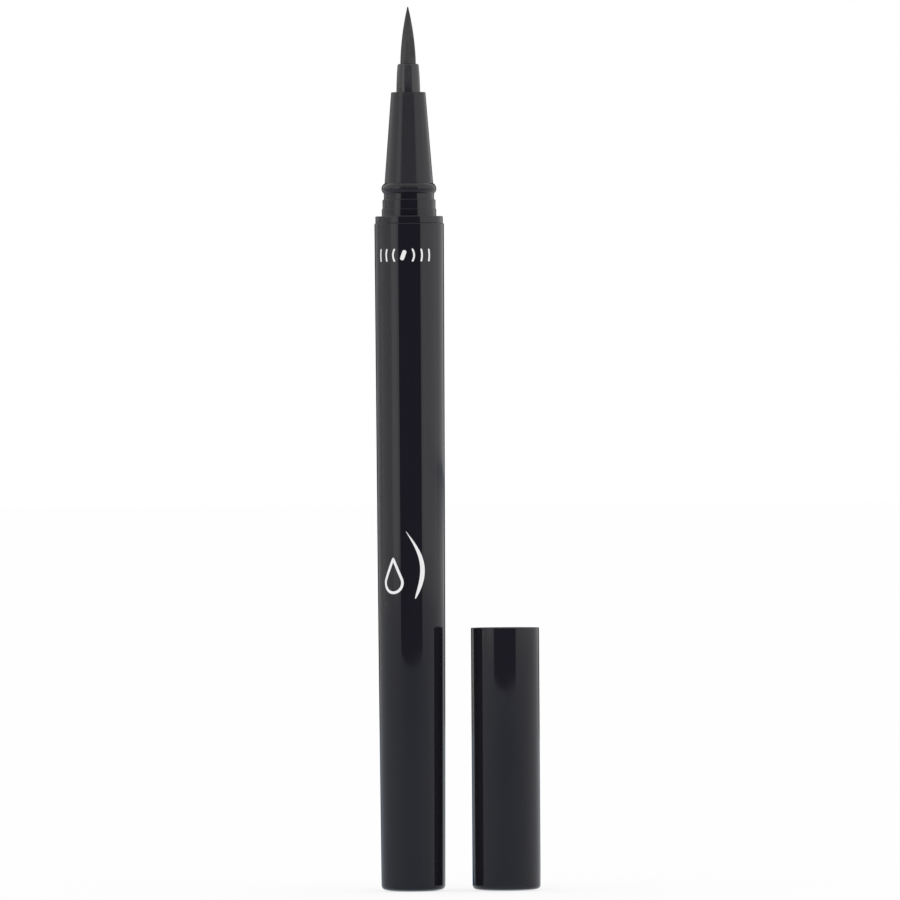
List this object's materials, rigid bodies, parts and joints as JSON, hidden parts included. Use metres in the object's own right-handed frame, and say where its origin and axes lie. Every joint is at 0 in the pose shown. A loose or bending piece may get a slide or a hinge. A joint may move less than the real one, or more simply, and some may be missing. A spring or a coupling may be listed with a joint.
{
  "type": "liquid eyeliner pen",
  "caption": "Slim liquid eyeliner pen standing tip up with a pointed brush nib, finned ink collector and mixing ball, and its snap cap with a sprung inner cap standing beside it.",
  "frame": {"origin": "centre of the flat end of the pen's tail plug, on the surface that the pen stands on", "axes": "+Z along the pen towards its nib; +X from the pen towards the cap that stands beside it"},
  "size_m": [0.0238, 0.0102, 0.1296],
  "materials": {
    "gloss_black": "polished moulded",
    "plug_black": "fine moulded",
    "natural_plastic": "natural moulded",
    "nib_fibre": "bonded fibre",
    "core_fibre": "drawn fibre",
    "ball_steel": "polished",
    "spring_steel": "drawn wire"
  },
  "bodies": {
    "pen": {"barrel": "gloss_black", "tail_plug": "plug_black", "collector": "natural_plastic", "relay_core": "core_fibre", "front_section": "gloss_black", "nib_holder": "gloss_black", "brush_nib": "nib_fibre"},
    "ball": {"mixing_ball": "ball_steel"},
    "cap": {"cap_shell": "gloss_black", "inner_cap_spring": "spring_steel"},
    "seal_cup": {"inner_cap": "natural_plastic"}
  },
  "joints": [
    {"name": "ball_shake", "type": "slide", "parent": "pen", "child": "ball", "axis": [0, 0, 1], "range_m": [0, 0.049]},
    {"name": "cap_lift", "type": "slide", "parent": "pen", "child": "cap", "axis": [0, 0, 1], "range_m": [0, 0.132]},
    {"name": "inner_cap_press", "type": "slide", "parent": "cap", "child": "seal_cup", "axis": [0, 0, -1], "range_m": [0, 0.0012], "stiffness_N_per_m": 400, "springref_m": -0.001, "deforming": ["inner_cap_spring"]}
  ]
}
